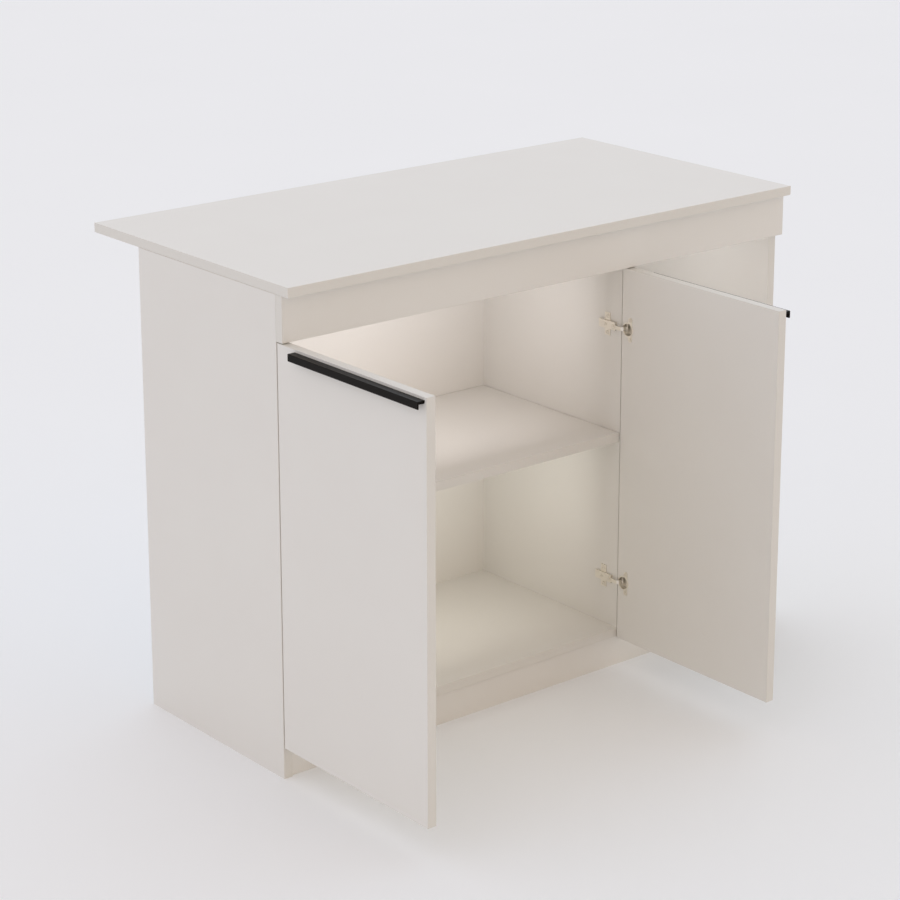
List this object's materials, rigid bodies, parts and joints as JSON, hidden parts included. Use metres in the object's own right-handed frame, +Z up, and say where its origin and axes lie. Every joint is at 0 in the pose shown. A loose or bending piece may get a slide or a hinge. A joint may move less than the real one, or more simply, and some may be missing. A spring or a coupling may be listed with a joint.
{
  "type": "counter desk",
  "caption": "Freestanding counter desk in white laminated board with an overhanging worktop, a cupboard bay with swinging doors and an open shelved bay.",
  "frame": {"origin": "on the floor, at the middle of the plinth's underside", "axes": "+X to the right seen from the working side with the doors, +Y away from the user towards the customer side, +Z up"},
  "size_m": [1.2145, 0.9648, 0.9],
  "materials": {
    "white_board": "white melamine laminate on chipboard, satin",
    "edging": "white ABS edging, satin",
    "black_aluminium": "black anodised, matt",
    "nickel_steel": "nickel-plated pressed steel",
    "zinc_fitting": "die-cast zinc and zinc-plated steel",
    "zinc_screw": "zinc-plated steel",
    "beech": "fluted beech",
    "white_nylon": "moulded nylon"
  },
  "bodies": {
    "carcass": {"back_panel": "white_board", "block_screws": "zinc_screw", "bottom_board": "white_board", "bottom_board_edging": "edging", "cam_bolts": "zinc_fitting", "cams": "zinc_fitting", "corner_blocks": "white_nylon", "cupboard_shelf": "white_board", "cupboard_shelf_edging": "edging", "dowels": "beech", "fascia": "white_board", "fascia_edging": "edging", "front_rail_left": "white_board", "front_rail_right": "white_board", "left_arm_screws": "nickel_steel", "left_lower_hinge_arm": "nickel_steel", "left_lower_hinge_plate": "nickel_steel", "left_plate_screws": "nickel_steel", "left_side": "white_board", "left_side_edging": "edging", "left_upper_hinge_arm": "nickel_steel", "left_upper_hinge_plate": "nickel_steel", "open_bay_shelf": "white_board", "open_bay_shelf_edging": "edging", "partition": "white_board", "partition_edging": "edging", "partition_screws": "zinc_screw", "plinth": "white_board", "rear_rail_left": "white_board", "rear_rail_right": "white_board", "right_arm_screws": "nickel_steel", "right_lower_hinge_arm": "nickel_steel", "right_lower_hinge_plate": "nickel_steel", "right_plate_screws": "nickel_steel", "right_side": "white_board", "right_side_edging": "edging", "right_upper_hinge_arm": "nickel_steel", "right_upper_hinge_plate": "nickel_steel", "shelf_pins": "nickel_steel", "worktop": "white_board", "worktop_edging": "edging", "worktop_screws": "zinc_screw"},
    "left_leaf": {"left_door": "white_board", "left_door_edging": "edging", "left_handle": "black_aluminium", "left_upper_hinge_cup": "nickel_steel", "left_lower_hinge_cup": "nickel_steel", "left_hinge_pins": "nickel_steel", "left_cup_screws": "nickel_steel"},
    "right_leaf": {"right_door": "white_board", "right_door_edging": "edging", "right_handle": "black_aluminium", "right_upper_hinge_cup": "nickel_steel", "right_lower_hinge_cup": "nickel_steel", "right_hinge_pins": "nickel_steel", "right_cup_screws": "nickel_steel"}
  },
  "joints": [
    {"name": "left_door_swing", "type": "hinge", "parent": "carcass", "child": "left_leaf", "pos_m": [-0.5874, -0.0224, 0.4285], "axis": [0, 0, -1], "range_deg": [-90, 5]},
    {"name": "right_door_swing", "type": "hinge", "parent": "carcass", "child": "right_leaf", "pos_m": [0.1974, -0.0224, 0.4285], "axis": [0, 0, 1], "range_deg": [-90, 5]}
  ]
}
